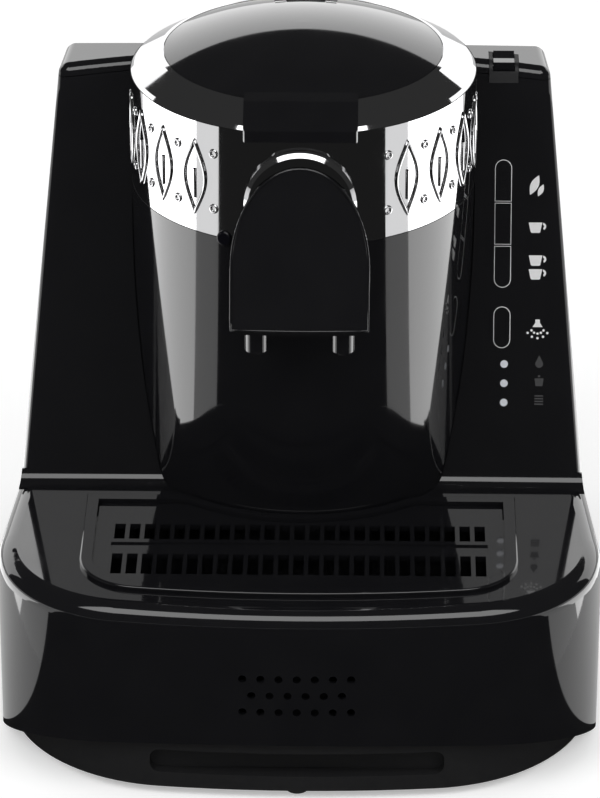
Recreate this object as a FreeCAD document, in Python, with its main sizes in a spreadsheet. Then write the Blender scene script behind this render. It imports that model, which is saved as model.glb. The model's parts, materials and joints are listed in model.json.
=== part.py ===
import FreeCAD, Part
import math
import os
import Sketcher

# Counter-top machine that brews Turkish coffee: a wide base with a drip tray,
# a leaning shield with two wings, and a round brewing column with a chrome
# collar, a hinged lid and a twin spout. Millimetres, +Z up, +Y to the rear.
# The origin is on the table, under the middle of the machine.

os.makedirs("parts", exist_ok=True)
doc = FreeCAD.newDocument("coffee_maker")
V = FreeCAD.Vector
X_AXIS = V(1, 0, 0)
Y_AXIS = V(0, 1, 0)
Z_AXIS = V(0, 0, 1)

# Driving dimensions

DRIVING = {
    # base in plan
    "base_width": 257.0,
    "base_depth": 288.0,
    "front_bow_radius": 551.0,
    "front_corner_radius": 60.0,
    "rear_corner_radius": 26.0,
    "side_taper_angle": 4.8,
    # base in height
    "foot_height": 4.0,
    "seam_height": 81.5,
    "deck_height": 90.0,
    "deck_edge_radius": 8.0,
    "base_wall": 2.6,
    "housing_wall": 3.0,
    "chin_rise": 27.8,
    "chin_slope_angle": 21.8,
    "plinth_gap": 0.4,
    "plinth_corner_draw": 18.0,
    "floor_thickness": 3.0,
    # shield and column housing
    "shield_setback": 118.0,
    "shield_lean_angle": 20.0,
    "shield_foot_radius": 8.0,
    "shield_edge_radius": 5.0,
    "shield_depth": 60.0,
    "side_draft_angle": 3.7,
    "seam_crown_height": 261.7,
    "cover_rise": 5.0,
    "cover_crown_radius": 850.0,
    "cover_gap": 0.3,
    "shoulder_inset": 1.6,
    "column_back": 242.0,
    "back_drop_angle": 24.0,
    "ridge_setback": 9.0,
    # drum
    "drum_radius": 73.75,
    "drum_setback": 161.1,
    "drum_wall": 2.5,
    "drum_gap": 0.3,
    "band_bottom_height": 218.1,
    "crease_height": 268.4,
    "lid_rim_radius": 59.75,
    "lid_rim_height": 276.8,
    "chrome_wall": 1.6,
    # lid
    "lid_crown": 12.0,
    "lid_wall": 2.4,
    "lid_gap": 0.35,
    "tab_width": 47.5,
    "tab_drop": 5.0,
    "tab_overhang": 1.6,
    "lid_hinge_offset": 66.5,
    "hinge_pin_radius": 1.5,
    "pin_clearance": 0.05,
    "hinge_barrel_radius": 3.6,
    # spout
    "spout_top_height": 255.6,
    "spout_cover_length": 68.6,
    "spout_lean_angle": 21.0,
    "spout_width": 58.4,
    "spout_cover_thickness": 3.0,
    "spout_height": 69.6,
    "collar_radius": 23.5,
    "collar_drop": 17.6,
    "collar_stand": 4.5,
    "nozzle_spacing": 36.3,
    "nozzle_radius": 4.75,
    "nozzle_bore_radius": 2.6,
    "nozzle_length": 8.5,
    "nozzle_setback": 70.0,
    "sensor_radius": 3.3,
    # drip tray
    "tray_width": 179.0,
    "tray_front_setback": 19.0,
    "tray_rear_setback": 101.0,
    "tray_corner_radius": 24.0,
    "tray_rim_height": 92.0,
    "tray_depth": 26.0,
    "tray_wall": 2.2,
    "tray_gap": 0.8,
    "tray_flange": 3.0,
    "tray_ledge": 3.0,
    "drum_collar": 2.0,
    "grille_thickness": 2.6,
    "grille_gap": 0.5,
    "grille_drop": 1.8,
    "slot_pitch": 6.4,
    "slot_width": 4.5,
    "front_slot_start": 35.2,
    "front_slot_length": 17.6,
    "rear_slot_start": 66.0,
    "rear_slot_length": 13.4,
    # control strip
    "button_width": 6.0,
    "button_length": 16.8,
    "button_gap": 1.9,
    "button_stand": 0.7,
    "button_clearance": 0.25,
    "button_depth": 5.0,
    "button_column": 86.4,
    "top_button_height": 222.8,
    "clean_button_height": 162.9,
    "lamp_radius": 1.65,
    "lamp_drop": 22.9,
    "lamp_pitch": 7.9,
    # power switch
    "switch_width": 13.0,
    "switch_column": 86.1,
    "switch_depth": 15.0,
    "switch_floor_height": 254.5,
    "switch_wall": 1.5,
    # water tank
    "tank_gap": 1.2,
    "tank_wall": 2.4,
    "tank_shelf_height": 34.0,
    "shelf_thickness": 3.0,
    "tank_top_height": 208.0,
    "tank_lid_thickness": 4.0,
    "tank_side_inset": 1.0,
    # grille of holes over the buzzer
    "buzzer_hole_radius": 1.7,
    "buzzer_hole_pitch": 7.55,
    "buzzer_row_pitch": 7.9,
    "buzzer_row_height": 51.8,
    # inside
    "pot_radius": 33.0,
    "pot_height": 62.0,
    "pot_wall": 1.2,
    "pot_rim_height": 262.0,
    # fixings
    "screw_inset": 24.5,
    "foot_inset": 44.5,
    "screw_radius": 1.6,
    "screw_head_radius": 3.4,
    "gland_radius": 5.5,
    "gland_column": -70.0,
}

sheet = doc.addObject("Spreadsheet::Sheet", "Dims")
for row, (alias, value) in enumerate(DRIVING.items(), start=1):
    sheet.set(f"A{row}", alias)
    sheet.set(f"B{row}", str(value))
    sheet.setAlias(f"B{row}", alias)
doc.recompute()


class Size:
    """A length that knows both its value and the expression it comes from."""

    def __init__(self, value, text):
        self.value = value
        self.text = text

    def join(self, other, sign, value):
        text = other.text if isinstance(other, Size) else str(other)
        return Size(value, f"({self.text} {sign} {text})")

    def __add__(self, other):
        return self.join(other, "+", self.value + plain(other))

    def __sub__(self, other):
        return self.join(other, "-", self.value - plain(other))

    def __mul__(self, other):
        return self.join(other, "*", self.value * plain(other))

    def __truediv__(self, other):
        return self.join(other, "/", self.value / plain(other))


def plain(size):
    return size.value if isinstance(size, Size) else size


def dim(alias):
    return Size(sheet.get(alias), f"Dims.{alias}")


def read(alias):
    return float(sheet.get(alias))


ZERO = Size(0.0, "0")
NODES = []


# Builders

def keep(item, label):
    item.Label = label
    NODES.append(item)
    return item


def plane_of(body, role):
    for feature in body.Origin.OriginFeatures:
        if feature.Role == role:
            return feature
    raise ValueError(role)


def profile_sketch(body, role, points, name):
    """Closed polygon whose corners are bound to the sheet."""
    sketch = body.newObject("Sketcher::SketchObject", name)
    sketch.AttachmentSupport = [(plane_of(body, role), "")]
    sketch.MapMode = "FlatFace"
    count = len(points)
    for index in range(count):
        start = points[index]
        end = points[(index + 1) % count]
        line = Part.LineSegment(V(plain(start[0]), plain(start[1]), 0), V(plain(end[0]), plain(end[1]), 0))
        sketch.addGeometry(line, False)
    for index in range(count):
        sketch.addConstraint(Sketcher.Constraint("Coincident", index, 2, (index + 1) % count, 1))
    for index, (across, up) in enumerate(points):
        for kind, size in (("DistanceX", across), ("DistanceY", up)):
            number = sketch.addConstraint(Sketcher.Constraint(kind, -1, 1, index, 1, plain(size)))
            if isinstance(size, Size):
                sketch.setExpression(f"Constraints[{number}]", size.text)
    return sketch


def place(item, where):
    for axis, size in zip("xyz", where):
        setattr_base(item, axis, plain(size))
        if isinstance(size, Size):
            item.setExpression(f"Placement.Base.{axis}", size.text)


def setattr_base(item, axis, value):
    base = item.Placement.Base
    setattr(base, axis, value)
    item.Placement = FreeCAD.Placement(base, item.Placement.Rotation)


def turned(label, points, where):
    """Body of revolution about a vertical axis; points are (radius, height)."""
    body = doc.addObject("PartDesign::Body", label)
    sketch = profile_sketch(body, "XZ_Plane", points, label + "_profile")
    spin = body.newObject("PartDesign::Revolution", label + "_turn")
    spin.Profile = sketch
    spin.ReferenceAxis = (sketch, ["V_Axis"])
    spin.Angle = 360.0
    place(body, where)
    return keep(body, label)


def made(label, shape):
    """Sub-part whose moulded form is worked out from the sheet."""
    item = doc.addObject("Part::Feature", label)
    item.Shape = shape
    return keep(item, label)


def box_between(low, high):
    return Part.makeBox(high[0] - low[0], high[1] - low[1], high[2] - low[2], V(*low))


def rod_x(radius, x0, x1, y, z):
    return Part.makeCylinder(radius, x1 - x0, V(x0, y, z), X_AXIS)


def prism(wire, low, high):
    moved = wire.copy()
    moved.translate(V(0, 0, low))
    return Part.Face(moved).extrude(V(0, 0, high - low))


def polygon_x(points, half_width):
    """Side profile of (y, z) points drawn out across the whole width."""
    corners = [V(-half_width, y, z) for y, z in points]
    wire = Part.makePolygon(corners + [corners[0]])
    return Part.Face(wire).extrude(V(2 * half_width, 0, 0))


def group(shapes):
    return Part.makeCompound(shapes)


# Places worked out from the driving dimensions

front_y = -read("base_depth") / 2
rear_y = read("base_depth") / 2
half_width = read("base_width") / 2
drum_y = front_y + read("drum_setback")
drum_radius = read("drum_radius")
deck = read("deck_height")
seam = read("seam_height")
wall = read("housing_wall")
base_wall = read("base_wall")
foot = read("foot_height")
lean = math.radians(read("shield_lean_angle"))
shield_foot_y = front_y + read("shield_setback")
column_back_y = front_y + read("column_back")
crease = read("crease_height")
band_bottom = read("band_bottom_height")
drum_gap = read("drum_gap")
WIDE = 200.0
TALL = 400.0

DRUM_Y = dim("drum_setback") - dim("base_depth") / 2


def plan_wire(inset, corner_extra=0.0):
    """Outline of the machine from above, drawn in by an inset."""
    bow = read("front_bow_radius")
    corner = read("front_corner_radius") + corner_extra
    back = read("rear_corner_radius")
    taper = math.radians(read("side_taper_angle"))
    corner_x = half_width - corner
    bow_y = front_y + bow
    corner_y = bow_y - math.sqrt((bow - corner) ** 2 - corner_x ** 2)
    swing = math.atan2(corner_x, bow_y - corner_y)
    bow -= inset
    corner -= inset
    side = V(math.cos(taper), math.sin(taper), 0)
    centre = V(corner_x, corner_y, 0)
    leave = centre + side * corner
    back_y = rear_y - back
    reach = (-back + inset - (back_y - leave.y) * side.y) / side.x
    back_centre = V(leave.x + reach, back_y, 0)
    back -= inset
    half = (math.pi / 2 + taper + swing) / 2
    turn = (taper + math.pi / 2) / 2
    meet = V(bow * math.sin(swing), bow_y - bow * math.cos(swing), 0)
    corner_mid = centre + V(math.sin(half), -math.cos(half), 0) * corner
    back_start = back_centre + side * back
    back_mid = back_centre + V(math.cos(turn), math.sin(turn), 0) * back
    back_end = back_centre + V(0, back, 0)
    nose = V(0, bow_y - bow, 0)

    def mirror(point):
        return V(-point.x, point.y, 0)

    edges = [
        Part.Arc(mirror(meet), nose, meet).toShape(),
        Part.Arc(meet, corner_mid, leave).toShape(),
        Part.makeLine(leave, back_start),
        Part.Arc(back_start, back_mid, back_end).toShape(),
        Part.makeLine(back_end, mirror(back_end)),
        Part.Arc(mirror(back_end), mirror(back_mid), mirror(back_start)).toShape(),
        Part.makeLine(mirror(back_start), mirror(leave)),
        Part.Arc(mirror(leave), mirror(corner_mid), mirror(meet)).toShape(),
    ]
    return Part.Wire(edges)


def face_y(height):
    """How far back the leaning face of the shield stands at a height."""
    return shield_foot_y + (height - deck) * math.tan(lean)


# Lower base: glossy fascia over a dark pan

def chin_cut(offset=0.0):
    """Everything under the sloping lower edge of the fascia."""
    slope = math.tan(math.radians(read("chin_slope_angle")))
    rise = read("chin_rise") + offset
    reach = rise / slope
    return polygon_x([(front_y - 20, rise + 20 * slope), (front_y + reach, 0), (front_y - 20, 0)], WIDE)


GLAND_Z = foot + 16.0
screw_x = half_width - read("screw_inset")
SCREWS = [(side * (screw_x - draw), y) for side in (-1, 1) for y, draw in ((front_y + 86, 0), (rear_y - 78, 8))]
FLOOR = foot + read("floor_thickness")


def make_fascia():
    shell = prism(plan_wire(0), foot + 1, seam).cut(prism(plan_wire(base_wall), foot, seam + 1))
    shell = shell.cut(chin_cut())
    step = box_between((-WIDE, column_back_y, read("tank_shelf_height")), (WIDE, rear_y + 10, TALL))
    shell = shell.cut(step)
    bulkhead = box_between(
        (-WIDE, column_back_y - base_wall, read("tank_shelf_height") - read("shelf_thickness")),
        (WIDE, column_back_y, seam))
    shell = shell.fuse(bulkhead.common(prism(plan_wire(0.5), foot, seam)))
    for x, y in SCREWS:
        side = math.copysign(1, x)
        post = Part.makeCylinder(4.5, 45 - foot - read("floor_thickness"), V(x, y, foot + read("floor_thickness")))
        near, far = sorted((x, x + side * 40))
        rib = box_between((near, y - 1.5, 33), (far, y + 1.5, 45)).common(prism(plan_wire(0.5), foot, seam))
        shell = shell.fuse(post.fuse(rib))
        shell = shell.cut(Part.makeCylinder(read("screw_radius") + 0.08, 24, V(x, y, foot)))
    gland = Part.makeCylinder(read("gland_radius") + 0.3, 20, V(read("gland_column"), rear_y - 10, GLAND_Z), Y_AXIS)
    shell = shell.cut(gland)
    pitch = read("buzzer_hole_pitch")
    holes = []
    for line, count in ((-1, 7), (0, 6), (1, 7)):
        height = read("buzzer_row_height") + line * read("buzzer_row_pitch")
        for number in range(count):
            across = (number - (count - 1) / 2) * pitch
            holes.append(Part.makeCylinder(read("buzzer_hole_radius"), 20, V(across, front_y - 5, height), Y_AXIS))
    return shell.cut(group(holes))


BUZZER_FOOT = read("buzzer_row_height") - 17.0
BOARD_POSTS = [(-84.0, -20.0), (-84.0, 30.0), (-44.0, -20.0), (-44.0, 30.0)]


def make_pan():
    inset = base_wall + read("plinth_gap")
    draw = read("plinth_corner_draw")
    rim = read("tank_shelf_height") - read("shelf_thickness")
    outer = prism(plan_wire(inset, draw), foot, rim).common(prism(plan_wire(inset), foot, rim))
    inner = prism(plan_wire(inset + base_wall, draw), FLOOR, TALL)
    pan = outer.cut(inner.common(prism(plan_wire(inset + base_wall), FLOOR, TALL)))
    recess_low = foot + 7.0
    recess = box_between((-62, front_y - 5, recess_low), (62, front_y + inset + 8, recess_low + 11))
    corners = [edge for edge in recess.Edges if abs(edge.Vertexes[0].Y - edge.Vertexes[1].Y) > 5]
    recess = recess.makeFillet(4.0, corners)
    cup = box_between((-65, front_y + inset + 1, recess_low - 2.5), (65, front_y + inset + 10, recess_low + 13.5))
    pan = pan.fuse(cup.common(outer)).cut(recess)
    post = box_between((-8, front_y + 12, FLOOR), (8, front_y + 17, BUZZER_FOOT))
    pan = pan.fuse(post)
    for x, y in BOARD_POSTS:
        pan = pan.fuse(Part.makeCylinder(3.5, 8, V(x, y, FLOOR)))
    for x, y in SCREWS:
        pan = pan.cut(Part.makeCylinder(read("screw_radius") + 0.3, 6, V(x, y, foot - 1)))
        pan = pan.cut(Part.makeCylinder(read("screw_head_radius") + 0.3, 2.9, V(x, y, foot - 1)))
    hole = Part.makeCylinder(read("gland_radius") + 0.3, 30, V(read("gland_column"), rear_y - 18, GLAND_Z), Y_AXIS)
    return pan.cut(hole)


# Upper housing: deck, shield and its two wings

def crown_block(drop, inset=0.0):
    """Everything under the gently arched top, seen from the front."""
    radius = read("cover_crown_radius") - inset
    top = read("seam_crown_height") + drop - inset
    disc = Part.makeCylinder(radius, 2 * WIDE, V(0, -WIDE, top - radius), Y_AXIS)
    return disc.common(box_between((-WIDE, -WIDE, 0), (WIDE, WIDE, TALL)))


def tapered_plan(inset, low, high):
    """Outline block whose sides lean in by the side draft."""
    draft = math.tan(math.radians(read("side_draft_angle")))
    shoulder = read("shoulder_inset") + inset
    below = plan_wire(shoulder + (low - deck) * draft)
    above = plan_wire(shoulder + (high - deck) * draft)
    below.translate(V(0, 0, low))
    above.translate(V(0, 0, high))
    return Part.makeLoft([below, above], True, True)


def side_profile(inset):
    """Side view of the shield and column housing, from the face to the back."""
    shift = inset / math.cos(lean)
    back = column_back_y - inset
    top = read("seam_crown_height") + read("cover_rise") + 10
    return polygon_x([(face_y(seam) + shift, seam), (face_y(top) + shift, top), (back, top), (back, seam)], WIDE)


def under_back_slope(inset):
    """Everything under the slope that falls from the ridge to the back."""
    angle = math.radians(read("back_drop_angle"))
    ridge_z = read("seam_crown_height") + read("cover_rise")
    ridge_y = face_y(ridge_z) + read("ridge_setback")

    def slope_z(y):
        return ridge_z - (y - ridge_y) * math.tan(angle) - inset / math.cos(angle)

    return polygon_x([(-WIDE, slope_z(-WIDE)), (WIDE, slope_z(WIDE)), (WIDE, 0), (-WIDE, 0)], WIDE)


def shield_foot():
    """Hollow curve that runs the deck up into the leaning face."""
    radius = read("shield_foot_radius")
    angle = math.pi / 2 - lean
    reach = radius * math.tan(angle / 2)
    centre = V(-half_width, shield_foot_y - reach, deck + radius)
    first = V(-half_width, shield_foot_y - reach, deck)
    last = V(-half_width, face_y(deck + reach * math.cos(lean)), deck + reach * math.cos(lean))
    mid = centre + V(0, math.sin(angle / 2), -math.cos(angle / 2)) * radius
    under = V(-half_width, first.y, deck - 1)
    corner = V(-half_width, last.y + 1, deck - 1)
    behind = V(-half_width, last.y + 1, last.z)
    wire = Part.Wire([
        Part.Arc(first, mid, last).toShape(),
        Part.makeLine(last, behind),
        Part.makeLine(behind, corner),
        Part.makeLine(corner, under),
        Part.makeLine(under, first),
    ])
    return Part.Face(wire).extrude(V(2 * half_width, 0, 0))


def tray_wire(inset):
    """Outline of the drip tray before the drum is taken out of it."""
    half = read("tray_width") / 2 - inset
    near = front_y + read("tray_front_setback") + inset
    far = front_y + read("tray_rear_setback") - inset
    corner = read("tray_corner_radius") - inset
    bow = read("front_bow_radius") - read("tray_front_setback") - inset
    corner_x = half - corner
    bow_y = near + bow
    corner_y = bow_y - math.sqrt((bow - corner) ** 2 - corner_x ** 2)
    swing = math.atan2(corner_x, bow_y - corner_y)
    meet = V(bow * math.sin(swing), bow_y - bow * math.cos(swing), 0)
    half_turn = (math.pi / 2 + swing) / 2
    mid = V(corner_x + corner * math.sin(half_turn), corner_y - corner * math.cos(half_turn), 0)
    side = V(half, corner_y, 0)
    rear = V(half, far, 0)

    def mirror(point):
        return V(-point.x, point.y, 0)

    return Part.Wire([
        Part.Arc(mirror(meet), V(0, near, 0), meet).toShape(),
        Part.Arc(meet, mid, side).toShape(),
        Part.makeLine(side, rear),
        Part.makeLine(rear, mirror(rear)),
        Part.makeLine(mirror(rear), mirror(side)),
        Part.Arc(mirror(side), mirror(mid), mirror(meet)).toShape(),
    ])


def tray_block(inset, low, high, behind):
    """Tray outline with the round of the drum taken out, a given way behind it."""
    block = prism(tray_wire(inset), low, high)
    clear = drum_radius + drum_gap + read("drum_collar") + behind
    return block.cut(Part.makeCylinder(clear, high - low + 2, V(0, drum_y, low - 1)))


# Places on the leaning face

def on_face(x, height, depth=0.0):
    """Point on the shield's face, moved inward along its normal."""
    inward = V(0, math.cos(lean), -math.sin(lean))
    return V(x, face_y(height), height) + inward * depth


def face_placement(x, height, depth=0.0):
    """Frame on the face: its Z points outward and its Y runs up the face."""
    turn = FreeCAD.Rotation(X_AXIS, 90 - math.degrees(lean))
    return FreeCAD.Placement(on_face(x, height, depth), turn)


def pill(width, length, round_top, round_bottom, low, high):
    """Bar with rounded or square ends, standing on the XY plane."""
    half = width / 2
    top = length / 2
    edges = []
    if round_top:
        edges.append(Part.Arc(V(half, top - half, 0), V(0, top, 0), V(-half, top - half, 0)).toShape())
        left_top = V(-half, top - half, 0)
        right_top = V(half, top - half, 0)
    else:
        left_top = V(-half, top, 0)
        right_top = V(half, top, 0)
        edges.append(Part.makeLine(right_top, left_top))
    if round_bottom:
        left_bottom = V(-half, half - top, 0)
        right_bottom = V(half, half - top, 0)
        bottom = Part.Arc(left_bottom, V(0, -top, 0), right_bottom).toShape()
    else:
        left_bottom = V(-half, -top, 0)
        right_bottom = V(half, -top, 0)
        bottom = Part.makeLine(left_bottom, right_bottom)
    edges.append(Part.makeLine(left_top, left_bottom))
    edges.append(bottom)
    edges.append(Part.makeLine(right_bottom, right_top))
    return prism(Part.Wire(edges), low, high)


button_rise = read("button_length") * math.cos(lean)
button_step = (read("button_length") + read("button_gap")) * math.cos(lean)
strip_top = read("top_button_height") - button_rise / 2
BUTTONS = [
    ("button_warm", strip_top, True, False),
    ("button_one_cup", strip_top - button_step, False, False),
    ("button_two_cups", strip_top - 2 * button_step, False, True),
    ("button_clean", read("clean_button_height") - button_rise / 2, True, True),
]
lamp_top = read("clean_button_height") - read("lamp_drop")
lamp_heights = [lamp_top - number * read("lamp_pitch") for number in range(3)]


def button_hole(height, round_top, round_bottom):
    gap = 2 * read("button_clearance")
    hole = pill(read("button_width") + gap, read("button_length") + gap, round_top, round_bottom, -12, 6)
    hole.Placement = face_placement(read("button_column"), height)
    return hole


def lamp_hole(height):
    hole = Part.makeCylinder(read("lamp_radius") + read("pin_clearance"), 18, V(0, 0, -12))
    hole.Placement = face_placement(read("button_column") + 1.2, height)
    return hole


def switch_pocket(grow=0.0):
    half = read("switch_width") / 2 + grow
    x = read("switch_column")
    low = read("switch_floor_height") - grow
    near = face_y(low) - 6
    far = face_y(low) + read("switch_depth") + grow
    return box_between((x - half, near, low), (x + half, far, TALL))


def upper_body(inset):
    """Shield and column housing as one block, drawn in by an inset."""
    block = side_profile(inset).common(under_back_slope(inset))
    block = block.common(tapered_plan(inset, seam, TALL - 100))
    return block.common(crown_block(read("cover_rise"), inset))


def rounded_body():
    """The outer block with its wing edges and its crown rounded."""
    block = upper_body(0)
    soft = []
    for edge in block.Edges:
        middle = edge.valueAt((edge.FirstParameter + edge.LastParameter) / 2)
        on_shield = abs(middle.y - face_y(middle.z)) < 0.6 and middle.z > deck
        on_side = abs(middle.x) > 95 and middle.z > 200 and middle.y < column_back_y - 2
        if on_shield or on_side:
            soft.append(edge)
    return block.makeFillet(read("shield_edge_radius"), soft)


def make_upper_housing():
    rim = prism(plan_wire(0), seam, deck)
    edges = [edge for edge in rim.Edges if min(v.Z for v in edge.Vertexes) > deck - 0.01]
    rim = rim.makeFillet(read("deck_edge_radius"), edges)
    rim = rim.cut(box_between((-WIDE, column_back_y, seam - 1), (WIDE, rear_y + 10, TALL)))
    rim = rim.cut(prism(plan_wire(read("deck_edge_radius") * 0.6 + wall), seam - 1, deck - wall))
    foot_curve = shield_foot().common(tapered_plan(0.2, deck - 1, deck + 30))
    split = shield_foot_y + read("shield_depth")
    front_half = box_between((-WIDE, -WIDE, 0), (WIDE, split, TALL))
    front_half = front_half.fuse(box_between((-WIDE, -WIDE, 0), (WIDE, WIDE, deck)))
    shield = OUTER.fuse(foot_curve).cut(INNER).common(front_half)
    shield = shield.common(crown_block(0))
    housing = rim.fuse(shield)
    housing = housing.cut(Part.makeCylinder(drum_radius + drum_gap, TALL, V(0, drum_y, seam - 5)))
    flange_room = drum_radius + read("drum_collar") + 0.1
    housing = housing.cut(Part.makeCylinder(flange_room, deck - wall - seam + 5, V(0, drum_y, seam - 5)))
    inner_room = polygon_x(
        [(shield_foot_y + 12, seam - 1), (shield_foot_y + 12, deck + 1), (column_back_y - wall, deck + 1),
         (column_back_y - wall, seam - 1)], WIDE).common(tapered_plan(wall + 2, seam - 2, deck + 2))
    housing = housing.cut(inner_room)
    housing = housing.cut(tray_block(-read("tray_gap"), seam - 10, deck + 12, 0.0))
    for _, height, round_top, round_bottom in BUTTONS:
        housing = housing.cut(button_hole(height, round_top, round_bottom))
    for height in lamp_heights:
        housing = housing.cut(lamp_hole(height))
    for x, height in BOARD_FIXINGS:
        boss = Part.makeCylinder(2.4, BOARD_DEPTH - wall + 0.5, V(0, 0, -BOARD_DEPTH))
        boss.Placement = face_placement(x, height)
        housing = housing.fuse(boss)
    return housing.cut(switch_pocket())


def make_rear_housing():
    split = shield_foot_y + read("shield_depth")
    rear_half = box_between((-WIDE, split, deck), (WIDE, WIDE, TALL))
    shell = OUTER.cut(INNER).common(rear_half).common(crown_block(0))
    shell = shell.cut(Part.makeCylinder(drum_radius + drum_gap, TALL, V(0, drum_y, 0)))
    return shell.cut(switch_pocket())


def make_top_cover():
    """Arched cap over the two halves, seen as a thin line from the front."""
    cap = OUTER.cut(INNER).cut(crown_block(read("cover_gap")))
    cap = cap.cut(Part.makeCylinder(drum_radius + drum_gap, TALL, V(0, drum_y, 0)))
    return cap.cut(switch_pocket())


BOARD_DEPTH = 9.0
BOARD_X = read("button_column") + 0.8
BOARD_HIGH = read("top_button_height") - 8.0
BOARD_LOW = lamp_top - 12.0
BOARD_FIXINGS = [(BOARD_X + side * 8.3, height) for side in (-1, 1) for height in (BOARD_HIGH, BOARD_LOW)]
OUTER = rounded_body()
INNER = upper_body(wall)
made("upper_housing", make_upper_housing())
made("base_fascia", make_fascia())
made("base_pan", make_pan())
made("rear_housing", make_rear_housing())
covers = sorted(make_top_cover().Solids, key=lambda piece: piece.CenterOfMass.x)
made("top_cover_left", covers[0])
made("top_cover_right", covers[1])

# Round column with its chrome collar

UNDER_DECK = dim("deck_height") - dim("housing_wall")

turned("column_shell", [
    (dim("drum_radius") - dim("drum_wall"), UNDER_DECK - 2),
    (dim("drum_radius") + dim("drum_collar") - 0.2, UNDER_DECK - 2),
    (dim("drum_radius") + dim("drum_collar") - 0.2, UNDER_DECK),
    (dim("drum_radius"), UNDER_DECK),
    (dim("drum_radius"), dim("band_bottom_height")),
    (dim("drum_radius") - dim("drum_wall"), dim("band_bottom_height")),
], (ZERO, DRUM_Y, ZERO))

turned("chrome_band", [
    (dim("drum_radius") - dim("chrome_wall"), dim("band_bottom_height")),
    (dim("drum_radius"), dim("band_bottom_height")),
    (dim("drum_radius"), dim("crease_height")),
    (dim("drum_radius") - dim("chrome_wall"), dim("crease_height")),
], (ZERO, DRUM_Y, ZERO))

RIM = dim("lid_rim_radius")
RIM_TOP = dim("lid_rim_height")
SEAT = RIM_TOP - 4.0
LINER_TOP = SEAT + 2.2
DRUM = dim("drum_radius")
CREASE = dim("crease_height")
CHROME = dim("chrome_wall")


def make_crown():
    """Sloping chrome ring with a seat for the lid and two hinge lugs."""
    outline = [
        (drum_radius, crease), (drum_radius - 1.4, crease + 1.6), (RIM.value + 2.0, RIM_TOP.value - 0.5),
        (RIM.value, RIM_TOP.value), (RIM.value, SEAT.value), (RIM.value - 4, SEAT.value),
        (RIM.value - 4, SEAT.value - CHROME.value), (RIM.value + 1.5, SEAT.value - CHROME.value),
        (drum_radius - CHROME.value * 2, crease),
    ]
    corners = [V(radius, 0, height) for radius, height in outline]
    face = Part.Face(Part.makePolygon(corners + [corners[0]]))
    ring = face.revolve(V(0, 0, 0), Z_AXIS, 360)
    ring.translate(V(0, drum_y, 0))
    for side in (-1, 1):
        inner = min(side * LUG_INNER, side * LUG_OUTER)
        outer = max(side * LUG_INNER, side * LUG_OUTER)
        post = box_between((inner, hinge_y - barrel, RIM_TOP.value - 6), (outer, hinge_y + barrel, hinge_z))
        ring = ring.fuse(post.fuse(rod_x(barrel, inner, outer, hinge_y, hinge_z)))
    return ring.cut(rod_x(read("hinge_pin_radius"), -WIDE, WIDE, hinge_y, hinge_z))


hinge_y = drum_y + read("lid_hinge_offset")
hinge_z = read("lid_rim_height") + 3.6
barrel = read("hinge_barrel_radius")
TONGUE = 9.0
LUG_INNER = TONGUE + 0.4
LUG_OUTER = LUG_INNER + 5.0
made("crown_ring", make_crown())
made("lid_hinge_pin", rod_x(read("hinge_pin_radius"), -LUG_OUTER, LUG_OUTER, hinge_y, hinge_z))


def make_lid():
    """Domed lid with a flap over the front of the crown and a rear tongue."""
    rim = RIM.value - read("lid_gap")
    rise = read("lid_crown")
    skin = read("lid_wall")
    sphere_radius = (rim ** 2 + rise ** 2) / (2 * rise)
    centre = V(0, drum_y, RIM_TOP.value + rise - sphere_radius)
    low = SEAT.value + read("lid_gap")
    outer = Part.makeCylinder(rim, 40, V(0, drum_y, low)).common(Part.makeSphere(sphere_radius, centre))
    inner = Part.makeCylinder(rim - skin, 60, V(0, drum_y, low - 20))
    inner = inner.common(Part.makeSphere(sphere_radius - skin, centre))
    half = read("tab_width") / 2
    front = drum_y - drum_radius
    flap = polygon_x([
        (drum_y - rim + 5, RIM_TOP.value + 0.5), (drum_y - rim + 5, RIM_TOP.value + 2.6),
        (drum_y - RIM.value - 2.6, RIM_TOP.value + 1.8), (front - read("tab_overhang"), crease + 2.2),
        (front - read("tab_overhang"), crease + 2.2 - read("tab_drop")),
        (front - 0.4, crease + 2.2 - read("tab_drop")), (front - 0.4, crease + 0.9),
        (drum_y - RIM.value - 1.9, RIM_TOP.value + 0.2), (drum_y - rim + 0.3, RIM_TOP.value + 0.5),
    ], half)
    corner = box_between((-half, front - 3, 0), (half, drum_y, TALL))
    upright = [e for e in corner.Edges if e.Length > TALL - 1 and e.Vertexes[0].Y < drum_y - 10]
    flap = flap.common(corner.makeFillet(3.4, upright))
    tongue = box_between((-TONGUE, drum_y + rim - 7, RIM_TOP.value + 0.5), (TONGUE, hinge_y, RIM_TOP.value + 2.9))
    knuckle = rod_x(barrel, -TONGUE, TONGUE, hinge_y, hinge_z)
    boss = Part.makeCylinder(5, 12, V(0, drum_y, LINER_TOP.value))
    lid = outer.fuse([flap, tongue, knuckle]).cut(inner).fuse(boss)
    return lid.cut(rod_x(read("hinge_pin_radius") + read("pin_clearance"), -WIDE, WIDE, hinge_y, hinge_z))


made("brew_lid", make_lid())
turned("lid_liner", [
    (ZERO, LINER_TOP - 1.6),
    (RIM - dim("lid_gap") * 2 - dim("lid_wall"), LINER_TOP - 1.6),
    (RIM - dim("lid_gap") * 2 - dim("lid_wall"), LINER_TOP),
    (ZERO, LINER_TOP),
], (ZERO, DRUM_Y, ZERO))

# Brewing chamber under the lid

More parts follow.
